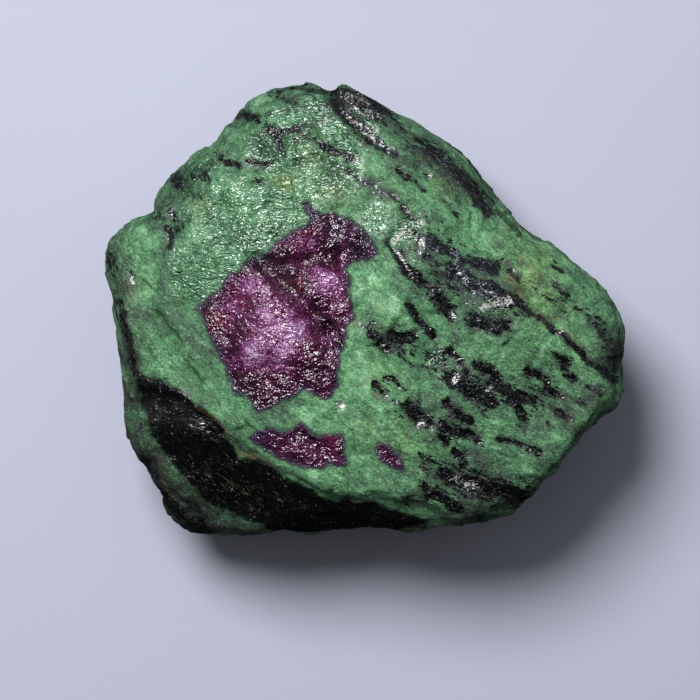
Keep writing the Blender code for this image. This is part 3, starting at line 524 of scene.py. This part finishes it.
def turning(place):
    """A vector that turns this way and that from place to place."""
    x, y, z = place
    spots = (x, y, z), (y + 31, z - 7, x + 12), (z - 19, x + 41, y)
    return Vector([noise.noise(spot) for spot in spots])


def wander(points, size, reach):
    """A sideways shift of each point that turns this way and that over the given size."""
    return np.array([turning(p)[:2] for p in (points / size).tolist()]) * reach


# The rock's layers: the way its grain runs, the way it is stacked, and the way down each layer.
GRAIN_ANGLE, LAYER_DIP = math.radians(-38), math.radians(28)
ALONG = np.array([math.cos(GRAIN_ANGLE), math.sin(GRAIN_ANGLE), 0])
LEVEL = np.array([-math.sin(GRAIN_ANGLE), math.cos(GRAIN_ANGLE), 0])
ACROSS = LEVEL * math.cos(LAYER_DIP) + np.array([0, 0, math.sin(LAYER_DIP)])
DOWN_DIP = np.cross(ALONG, ACROSS)

# Where a point is part of the front face: how far up it faces and how high it lies, from not at all to
# wholly. Then the heights over which the black band leaves the rim, from the top down.
FRONT_TILTS, FRONT_HEIGHTS, RIM_HEIGHTS = (-0.15, 0.25), (16, 22), (25, 7)
RUBY_DEPTH = 4  # how deep inside or outside the ruby's edge a point is told to be, at most
LEAST_CRISP = 0.15  # how rippled the wet skin is outside the marked places
# The flakes of the broken skin: size, seed, and how high they stand in the whole and more in the ruby.
FLAKES = [(5.5, 3.0, 0.20, 0.0), (2.6, 11.0, 0.10, 0.30), (1.3, 23.0, 0.05, 0.14)]
# Other relief in millimetres: the hammered zoisite, the ribs of its layers, of the black and of the
# band, and how deep the black lies.
HAMMERED, RIBS, BLACK_RIBS, BAND_RIBS, BLACK_SUNK = 0.2, 0.14, 0.10, 0.08, 0.16
BAND_NARROWS, BAND_SLANT = 4, 0.6  # how the black band changes below the rim
# Painted shade: an even darkening laid on the sides and back of the lump, wherever it isn't the front face.
BACK_DARKNESS = 0.35


def flakes(points, size, seed):
    """Flat-topped flakes: each cell of the pattern is a plane tilted its own way."""
    heights = []
    for p in (points / size + seed).tolist():
        cell = noise.voronoi(p)[1][0]
        heights.append((Vector(p) - cell).dot(turning(cell * 7.3)))
    return np.array(heights) * size


def fitted(points):
    """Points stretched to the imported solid's box, with the foot kept where it is."""
    low, high = np.array(CAD_BOX) / MM
    mine_low, mine_high = points.min(axis=0), points.max(axis=0)
    low[2] = mine_low[2] = 0.0
    return low + (points - mine_low) * (high - low) / (mine_high - mine_low)


def minerals(points, facing):
    """What each point is made of, how its grain runs, and how strongly each mark reaches it."""
    sight = seen(points)
    front = smoothstep(*FRONT_TILTS, facing[:, 2]) * smoothstep(*FRONT_HEIGHTS, points[:, 2])
    ragged = sight + wander(points, 2.3, 0.55) + wander(points + 50, 1.0, 0.3)
    ruby = np.maximum.reduce([depth_inside(o, ragged) for o in (RUBY, LOWER_RUBY, SMALL_RUBY)])
    ruby = np.where(front > 0.5, ruby.clip(-RUBY_DEPTH, RUBY_DEPTH), -RUBY_DEPTH)

    # The black band follows its outline on the front; below the rim it strays, narrows and dips aslant.
    below_rim = smoothstep(*RIM_HEIGHTS, points[:, 2])
    straying = wander(points, 3.0, 1.0) + wander(points + 20, 9.0, 16.0) * below_rim[:, None]
    straying[:, 0] += BAND_SLANT * np.maximum(FRONT_HEIGHTS[1] - points[:, 2], 0)
    band_depth = depth_inside(BLACK_BAND, sight + straying) - BAND_NARROWS * below_rim
    band = smoothstep(-1.5, 1.5, band_depth) * smoothstep(-0.7, -0.1, facing[:, 2])

    # The grain lies in layers, and bends round to run along the band.
    grain = np.column_stack([points @ ALONG, points @ DOWN_DIP, points @ ACROSS])
    grain[:, 2] += 1.2 * noises(points, 16.0)
    off_band, along_band = line_distance(BAND_RUN, sight)
    bent = np.column_stack([along_band, points[:, 2] * 0.5, off_band])
    grain = grain * (1 - band[:, None]) + bent * band[:, None]

    # The sides and the back have streaks along the layers.
    layered = noises(grain / [11.0, 7.0, 1.7], kind=lambda p: noise.fractal(p, 1.0, 2.0, 4))
    hidden = smoothstep(0.02, 0.4, layered + 0.45 * noises(points + 40, 17.0))
    black = lines_field(BLACK_STREAKS.values(), ragged) * front
    black = np.maximum(black, hidden * (1 - front))
    black = np.maximum(black, smoothstep(-0.5, 0.6, band_depth) * smoothstep(-0.8, -0.5, facing[:, 2]))
    return {
        "ruby": ruby, "black": black, "band": band, "front": front, "grain": grain,
        "pale": spots_field(PALE, sight) * front,
        "yellow": spots_field(YELLOW, sight) * front,
        # painted shade: the listed spots on the front face, and an even darkening of the sides and back
        "painted_shade": np.maximum(spots_field(PAINTED_SHADE, sight) * front, BACK_DARKNESS * (1 - front)),
        "brown": lines_field(BROWN, sight) * front,
        # pale pink with painted sheen, less the ruby's painted shade
        "pink_sheen_and_shade": (spots_field(PINK_AND_SHEEN, ragged) - spots_field(SHADE, ragged)) * front,
        "reddest": spots_field(REDDEST, ragged) * front,
        "violet": spots_field(BLUEST, ragged) * front,
        "sparkle": spots_field(SPARKLE, sight) * front,
        "misty": spots_field(MISTY, sight) * front,
        "threads": spots_field(THREADS, sight) * band,
        # mostly painted glints, partly flakes of white zoisite
        "white_and_glints": lines_field(WHITE_AND_GLINTS, ragged) * front,
        "veined": 1 - front * smoothstep(0.2, 0.9, spots_field(EVEN, sight)),
        "crisp": np.maximum(spots_field(CRISP, sight) * front, LEAST_CRISP),
    }  # fmt: skip


def relief(points, made):
    """How far each point of the broken surface stands out, in millimetres."""
    sight, front, band, crisp = seen(points), made["front"], made["band"], made["crisp"]
    height = np.zeros(len(points))
    for x, y, reach, rise in KNOBS:
        height += rise * np.exp(-(((sight[:, 0] - x) ** 2 + (sight[:, 1] - y) ** 2) / reach**2)) * front
    for line, half_width, depth in SCORES:
        off = line_distance(line, sight + wander(points + 9, 3.0, 0.5))[0]
        height -= depth * np.exp(-((off / half_width) ** 2)) * front

    zoisite = smoothstep(0.3, -0.3, made["ruby"])
    for size, seed, rise, ruby_rise in FLAKES:
        shapes = flakes(points, size, seed)
        height += shapes * (rise * (1 - 0.5 * band) + ruby_rise * (1 - zoisite))
    hammered = noises(points * [1, 1.9, 1.4] + 7, 4.2, lambda p: abs(noise.fractal(p, 1.0, 2.0, 3)))
    height -= HAMMERED * hammered * zoisite * (0.6 + 0.5 * crisp)
    height += RIBS * noises(made["grain"] / [5.0, 3.0, 0.8]) * (1 - band) * (1 - crisp)
    in_black = smoothstep(0.35, 0.6, made["black"])
    ribs = np.maximum(BLACK_RIBS * in_black, BAND_RIBS * band)
    height += noises(made["grain"] / [6.0, 2.5, 0.45]) * ribs
    height -= BLACK_SUNK * in_black * (1 - band)
    return height


def make_lump():
    cube, quads, places = ball_grid(CELLS)
    net = Net(quads, len(cube))
    points = fitted(net.smoothed(on_solid(wrap_directions(cube)), SMOOTHINGS))
    facing = net.normals(points)
    made = minerals(points, facing)
    points = fitted(points + facing * relief(points, made)[:, None])
    points[:, 2] = points[:, 2].clip(0)

    data = bpy.data.meshes.new("lump")
    data.from_pydata((points * MM).tolist(), [], quads.tolist())
    data.shade_smooth()
    for name, values in made.items():
        paint(data, name, values)
    lay_out(data, places)
    lump = bpy.data.objects.new("lump", data)
    bpy.context.scene.collection.objects.link(lump)
    return lump


def paint(data, name, values):
    """Keeps a number or a vector for each point of the mesh, for the material to read."""
    kind, field = ("FLOAT_VECTOR", "vector") if values.ndim > 1 else ("FLOAT", "value")
    layer = data.attributes.new(name, kind, "POINT")
    layer.data.foreach_set(field, values.astype(np.float32).ravel())


def lay_out(data, places):
    """A map with the top of the lump on a large square and its other five sides on small ones."""
    third, gap = 1 / 3, 1 / 1024
    squares = {
        0: (0, 2 * third, third), 1: (third, 2 * third, third), 2: (2 * third, 2 * third, third),
        3: (2 * third, third, third), 4: (2 * third, 0, third), 5: (0, 0, 2 * third),
    }  # fmt: skip
    spots = np.empty_like(places)
    per_side = len(places) // 6
    for side, (left, foot, size) in squares.items():
        rows = slice(side * per_side, (side + 1) * per_side)
        spots[rows] = (left + gap, foot + gap) + places[rows] * (size - 2 * gap)
    layer = data.uv_layers.new(name="OFBake")
    layer.uv.foreach_set("vector", spots.astype(np.float32).ravel())


# ---------------------------------------------------------------- the rock's material


class Nodes:
    """Short ways to add shader nodes to a material or a world."""

    def __init__(self, owner, shader):
        owner.use_nodes = True
        self.tree = owner.node_tree
        self.shader = self.tree.nodes[shader]

    def add(self, kind, **settings):
        node = self.tree.nodes.new(kind)
        for name, value in settings.items():
            setattr(node, name, value)
        return node

    def attribute(self, name):
        node = self.add("ShaderNodeAttribute", attribute_name=name)
        return node.outputs["Vector" if name == "grain" else "Fac"]

    def set(self, socket, value):
        """Gives a socket a value of its own, or links it to another socket or a named attribute."""
        if isinstance(value, str):
            value = self.attribute(value)
        if isinstance(value, bpy.types.NodeSocket):
            self.tree.links.new(value, socket)
        else:
            socket.default_value = value

    def fill(self, node, *values):
        """Sets a node's first inputs, in their order."""
        for socket, value in zip(node.inputs, values):
            self.set(socket, value)
        return node

    def math(self, operation, *values, clamp=False):
        node = self.add("ShaderNodeMath", operation=operation, use_clamp=clamp)
        return self.fill(node, *values).outputs[0]

    def times(self, a, b):
        return self.math("MULTIPLY", a, b)

    def vector(self, operation, *values):
        node = self.fill(self.add("ShaderNodeVectorMath", operation=operation), *values)
        return node.outputs["Value" if operation == "DOT_PRODUCT" else "Vector"]

    def noise(self, place, size=1.0, detail=2.0, roughness=0.5, distortion=0.0):
        node = self.add("ShaderNodeTexNoise")
        self.set(node.inputs["Vector"], place)
        node.inputs["Scale"].default_value = 1 / size
        node.inputs["Detail"].default_value = detail
        node.inputs["Roughness"].default_value = roughness
        node.inputs["Distortion"].default_value = distortion
        return node.outputs["Fac"]

    def stretched(self, place, sizes, *detail):
        """A noise with its own size in each direction."""
        return self.noise(self.vector("DIVIDE", place, sizes), 1.0, *detail)

    def step(self, value, low, high, to_low=0.0, to_high=1.0, kind="SMOOTHSTEP"):
        """The value's way from low to high, told as a way from to_low to to_high."""
        node = self.add("ShaderNodeMapRange", interpolation_type=kind)
        return self.fill(node, value, low, high, to_low, to_high).outputs[0]

    def total(self, start, *terms):
        """The start plus each value times its weight, where a noise counts from its middle, 0.5."""
        result = start
        for value, weight in terms:
            if not isinstance(value, str) and value.node.bl_idname == "ShaderNodeTexNoise":
                value = self.math("SUBTRACT", value, 0.5)
            result = self.math("MULTIPLY_ADD", value, weight, result)
        return result

    def ramp(self, value, stops):
        node = self.fill(self.add("ShaderNodeValToRGB"), value)
        elements = node.color_ramp.elements
        while len(elements) < len(stops):
            elements.new(0.5)
        for element, (position, colour) in zip(elements, stops):
            element.position = position
            element.color = rgb(*colour)
        return node.outputs["Color"]

    def mix(self, amount, a, b, kind="MIX"):
        """One colour with a share of another laid over it; kind is Blender's name for how."""
        node = self.add("ShaderNodeMix", data_type="RGBA", blend_type=kind)
        self.set(node.inputs[0], amount)
        self.set(node.inputs[6], a)
        self.set(node.inputs[7], b)
        return node.outputs[2]

    def facets(self, place, size):
        """Small flat faces, each tilted its own way, as heights in millimetres."""
        cells = self.add("ShaderNodeTexVoronoi")
        self.set(cells.inputs["Vector"], place)
        cells.inputs["Scale"].default_value = 1 / size
        offset = self.vector("SUBTRACT", place, cells.outputs["Position"])
        tilt = self.vector("SUBTRACT", cells.outputs["Color"], (0.5, 0.5, 0.5))
        return self.vector("DOT_PRODUCT", offset, tilt)

    def crests(self, value, width):
        """Rounded ridges along the lines where a noise passes through its middle."""
        off = self.math("SUBTRACT", value, 0.5)
        rounded = self.math("SQRT", self.math("MULTIPLY_ADD", off, off, width * width))
        return self.times(rounded, -2.0)


def rgb(red, green, blue):
    """A colour given as 0 to 255 on a screen, as the shader wants it."""
    shares = [c / 255 for c in (red, green, blue)]
    linear = [c / 12.92 if c < 0.0405 else ((c + 0.055) / 1.055) ** 2.4 for c in shares]
    return (*linear, 1.0)


# Each mineral's colours from its darkest to its palest grains, with where each comes on a scale of 0 to 1.
ZOISITE = [
    (0.0, (9, 15, 13)), (0.22, (48, 74, 57)), (0.48, (86, 143, 101)), (0.72, (140, 190, 148)),
    (1.0, (228, 240, 228)),
]  # fmt: skip
HORNBLENDE = [(0.0, (0, 0, 1)), (0.46, (2, 3, 4)), (0.68, (22, 30, 35)), (1.0, (150, 168, 178))]
RUBY_TONES = [
    (0.0, (20, 3, 16)), (0.3, (58, 12, 44)), (0.5, (102, 38, 82)), (0.72, (168, 104, 162)),
    (1.0, (232, 204, 236)),
]  # fmt: skip
# The second colour is the pale of the painted glints and of the flakes of white zoisite.
YELLOWED, GLINT_AND_FLAKE_WHITE = rgb(150, 170, 104), rgb(224, 226, 220)
STAIN, GOLD, STRAW = rgb(78, 58, 42), rgb(140, 114, 72), rgb(168, 152, 122)
CRIMSON, VIOLET = rgb(100, 6, 42), rgb(84, 58, 112)
DEEP_GREEN = rgb(194, 234, 203)  # what the colour of zoisite that isn't crisp is multiplied by
WET_IOR, WET_LEVEL = 1.7, 0.8  # the shine of the wet skin


class Rock(Nodes):
    """The lump's material, with the noises that its minerals share. Sizes are in millimetres."""

    def __init__(self):
        self.material = bpy.data.materials.new("ruby_zoisite")
        super().__init__(self.material, "Principled BSDF")
        in_mm = self.add("ShaderNodeVectorMath", operation="SCALE")
        self.set(in_mm.inputs[0], self.add("ShaderNodeTexCoord").outputs["Object"])
        in_mm.inputs["Scale"].default_value = 1 / MM
        self.place = in_mm.outputs[0]
        self.grain = self.attribute("grain")
        self.streaks = self.stretched(self.grain, (3.4, 2.2, 0.55), 5, 0.6)
        self.fine_streaks = self.stretched(self.grain, (1.5, 1.1, 0.28), 3, 0.6)
        self.fibre = self.stretched(self.grain, (2.6, 1.4, 0.24), 3, 0.6)
        self.grains = self.noise(self.place, 0.42, 3, 0.7)
        self.specks = self.noise(self.place, 0.2, 1, 0.5)
        self.clouds = self.noise(self.place, 2.1, 5, 0.62, 0.4)
        self.earthy = self.step(self.fine_streaks, 0.4, 0.6)

    def zoisite(self):
        """Granular green, clouded and streaked along the layers, deeper where it isn't crisp, with painted
        shade.
        """
        veins = self.total(0.0, (self.clouds, 0.4), (self.streaks, 0.7), (self.grains, 0.4))
        # The painted shade darkens the green's tone.
        tone = self.total(
            0.51, (self.grains, 0.75), (self.specks, 0.7), (self.clouds, 0.65),
            (self.noise(self.place, 7.0, 4, 0.6), 0.5), (self.fine_streaks, 0.45),
            (self.times("veined", veins), 1.0), ("pale", 0.34), ("painted_shade", -0.40), ("black", -0.22),
        )  # fmt: skip
        green = self.ramp(tone, ZOISITE)
        yellow = self.total(0.032, ("yellow", 0.75), (self.clouds, 0.8))
        yellow = self.math("MULTIPLY", yellow, 1.0, clamp=True)
        green = self.mix(yellow, green, YELLOWED, "COLOR")
        return self.mix(self.step("crisp", 0.1, 0.6, 1.0, 0.0), green, DEEP_GREEN, "MULTIPLY")

    def blackness(self):
        """Where the black is: hornblende, and a little painted shade laid as black, with ragged edges."""
        blots = self.noise(self.place, 1.1, 2, 0.6)
        ragged = self.total(
            0.0, (self.streaks, 1.5), (self.grains, 1.5), (self.fine_streaks, 1.3), (blots, 0.9)
        )  # fmt: skip
        near = self.step("black", 0.0, 0.3, 0.4, 1.0)
        marks = self.total(0.0, ("black", 0.9), (self.times(ragged, near), 1.0))
        return self.step(marks, 0.40, 0.60)

    def hornblende(self):
        """Black, with grey fibres along the grain and straw-coloured threads in the band."""
        tone = self.total(
            0.36, (self.fibre, 1.4), (self.grains, 1.0), (self.specks, 1.0), ("misty", 0.28), ("band", -0.14),
        )  # fmt: skip
        threads = self.stretched(self.grain, (2.6, 1.4, 0.2), 2, 0.6, 0.6)
        threads = self.total(0.0, (threads, 1), (self.clouds, 0.5), ("threads", 0.14))
        shown = self.times(self.step(threads, 0.2, 0.36), 0.44)
        return self.mix(shown, self.ramp(tone, HORNBLENDE), self.mix(self.earthy, STAIN, STRAW))

    def stained(self, colour):
        """A colour with iron stains along the cracks, and pale marks: mostly painted glints, partly white
        zoisite.
        """
        stain = self.total(0.0, ("brown", 1), (self.fibre, 1.6), (self.grains, 1.0))
        stain = self.times(self.step(stain, 0.45, 1.0), 0.75)
        colour = self.mix(stain, colour, self.mix(self.earthy, STAIN, GOLD))
        # The pale marks are mostly painted glints, laid into the colour.
        glints_and_flakes = self.total(0.0, ("white_and_glints", 1), (self.grains, 3.0), (self.fine_streaks, 1.5))
        return self.mix(self.step(glints_and_flakes, 0.45, 0.95), colour, GLINT_AND_FLAKE_WHITE)

    def redness(self):
        """Where the ruby is, with its frayed edges."""
        edge = self.total(0.0, ("ruby", 1), (self.clouds, 2.2), (self.grains, 2.2))
        return self.step(edge, -0.4, 0.3)

    def ruby(self):
        """Plum grains, crimson flecks, a pale pink middle partly of painted sheen, painted shade and a violet
        rim.
        """
        # The tone is lightened by painted sheen where the ruby catches the light, and darkened by its painted
        # shade.
        tone = self.total(
            0.3, ("sparkle", 0.16), (self.grains, 1.0), (self.specks, 0.8), (self.clouds, 0.9),
            (self.step("ruby", 0.0, RUBY_DEPTH), 0.08), ("pink_sheen_and_shade", 0.36),
        )  # fmt: skip
        plum = self.ramp(tone, RUBY_TONES)
        flecks = self.noise(self.place, 1.3, 3, 0.6)
        red = self.total(0.0, ("reddest", 0.3), (flecks, 1))
        plum = self.mix(self.step(red, 0.06, 0.28, 0.0, 0.75), plum, CRIMSON)
        plum = self.mix(self.step("ruby", 0.9, 0.0, 0.0, 0.45), plum, VIOLET)
        blue = self.total(0.0, ("violet", 1), (self.clouds, 1.2))
        bluer = self.mix(1.0, plum, VIOLET, "COLOR")
        return self.mix(self.step(blue, 0.1, 0.9, 0.0, 0.6), plum, bluer)

    def gloss(self, black, ruby):
        """Roughness: least where the skin is crisp and where the ruby sparkles."""
        wet = self.step(self.total(0.0, ("crisp", 1), (self.clouds, 0.6)), 0.15, 0.6, 0.8, 0.09)
        wet = self.mix(black, wet, self.step(self.fibre, 0.35, 0.6, 0.34, 0.2))
        wet = self.mix(ruby, wet, self.step("sparkle", 0.05, 0.5, 0.24, 0.12))
        dull = self.math("MAXIMUM", "band", self.math("SUBTRACT", 1.0, "front"))
        return self.mix(dull, wet, self.step(self.fibre, 0.35, 0.65, 0.3, 0.22))

    def skin(self, black, ruby):
        """The finest relief, in millimetres: ripples, grit, the ruby's knobs, small faces and fibres."""
        ripples = self.stretched(self.place, (1.9, 0.75, 0.9), 0.6, 0.5, 1.6)
        swirls = self.stretched(self.place, (1.5, 0.6, 0.9), 1.0, 0.5, 1.3)
        ripples = self.total(0.0, (ripples, 1), (self.crests(swirls, 0.08), 0.25))
        grit = self.times(self.noise(self.place, 0.42, 1, 0.5), self.total(0.04, (ruby, 0.12)))
        knobs = self.stretched(self.place, (1.1, 0.8, 0.9), 0.6, 0.5, 1.0)
        knobs = self.times(knobs, self.total(0.46, ("sparkle", 0.4)))
        off_band = self.math("SUBTRACT", black, "band")
        return self.total(
            0.0, (self.times(ripples, self.times("crisp", 0.85)), 1.0), (grit, 1.0),
            (self.times(ruby, knobs), 1), (self.times(ruby, self.facets(self.place, 1.2)), 0.2),
            (self.times(off_band, self.facets(self.place, 0.9)), 0.08),
            (self.times(black, self.fibre), 0.03),
        )  # fmt: skip


def rock_material():
    rock = Rock()
    black, ruby = rock.blackness(), rock.redness()
    colour = rock.stained(rock.mix(black, rock.zoisite(), rock.hornblende()))
    inputs = rock.shader.inputs
    rock.set(inputs["Base Color"], rock.mix(ruby, colour, rock.ruby()))
    rock.set(inputs["Roughness"], rock.gloss(black, ruby))
    inputs["IOR"].default_value = WET_IOR
    inputs["Specular IOR Level"].default_value = WET_LEVEL
    bump = rock.add("ShaderNodeBump")
    bump.inputs["Strength"].default_value = 1.0
    bump.inputs["Distance"].default_value = MM
    rock.set(bump.inputs["Height"], rock.skin(black, ruby))
    rock.set(inputs["Normal"], bump.outputs[0])
    return rock.material


# ---------------------------------------------------------------- table, light and camera

# Lengths of this part are in metres, and powers in watts.
TABLE_HALF = 2.0
TABLE_COLOUR, TABLE_ROUGHNESS = rgb(197, 200, 220), 0.6
LAMPS_AIM = Vector((0, 0, 0.03))
# Each lamp's place, width and power.
SOFTBOX = ((-0.22, 0.33, 0.72), 0.36, 6.5)
FILL = ((0.1, 0.2, 1.1), 1.4, 1.9)
ROOM_COLOUR = (0.86, 0.89, 1.0, 1)
# How the room's brightness changes with a direction's height and with how far it points past the
# lump's top: where the change starts and ends, and the brightness at each.
BY_HEIGHT, BY_SIDE = (0.15, 0.75, 0.2, 0.03), (-0.5, 0.7, 0.1, 1.0)


def make_table():
    material = bpy.data.materials.new("pale_table")
    material.use_nodes = True
    inputs = material.node_tree.nodes["Principled BSDF"].inputs
    inputs["Base Color"].default_value = TABLE_COLOUR
    inputs["Roughness"].default_value = TABLE_ROUGHNESS
    corners = [(x * TABLE_HALF, y * TABLE_HALF, 0) for x, y in ((-1, -1), (1, -1), (1, 1), (-1, 1))]
    data = bpy.data.meshes.new("table")
    data.from_pydata(corners, [], [(0, 1, 2, 3)])
    data.materials.append(material)
    table = bpy.data.objects.new("table", data)
    bpy.context.scene.collection.objects.link(table)
    table.visible_glossy = False  # the wet stone mirrors the dim room, as it does when held up


def add_lamp(name, place, size, power):
    data = bpy.data.lights.new(name, "AREA")
    data.shape = "DISK"
    data.size, data.energy = size, power
    lamp = bpy.data.objects.new(name, data)
    lamp.location = place
    lamp.rotation_euler = (LAMPS_AIM - Vector(place)).to_track_quat("-Z", "Y").to_euler()
    bpy.context.scene.collection.objects.link(lamp)
    return lamp


def make_light():
    """A soft lamp beyond the top of the lump, a broad weak one that isn't mirrored, and a dim room."""
    world = bpy.data.worlds.new("studio")
    n = Nodes(world, "Background")
    way = n.add("ShaderNodeSeparateXYZ")
    n.set(way.inputs[0], n.add("ShaderNodeTexCoord").outputs["Generated"])
    by_height = n.step(n.math("ABSOLUTE", way.outputs["Z"]), *BY_HEIGHT, kind="LINEAR")
    by_side = n.step(way.outputs["Y"], *BY_SIDE, kind="LINEAR")
    n.shader.inputs["Color"].default_value = ROOM_COLOUR
    n.set(n.shader.inputs["Strength"], n.times(by_height, by_side))
    bpy.context.scene.world = world
    add_lamp("softbox", *SOFTBOX)
    add_lamp("fill", *FILL).visible_glossy = False


def make_camera():
    data = bpy.data.cameras.new("camera")
    height = (EYE_HEIGHT - SEEN_PLANE) * MM
    data.lens = data.sensor_width * height / (SEEN_WIDTH * MM)
    camera = bpy.data.objects.new("camera", data)
    camera.location = (EYE[0] * MM, EYE[1] * MM, EYE_HEIGHT * MM)
    bpy.context.scene.collection.objects.link(camera)
    bpy.context.scene.camera = camera


lump = make_lump()
lump.data.materials.append(rock_material())
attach(lump, "root")
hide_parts(NODE)
make_table()
make_light()
make_camera()
bpy.context.scene.view_settings.view_transform = "Standard"
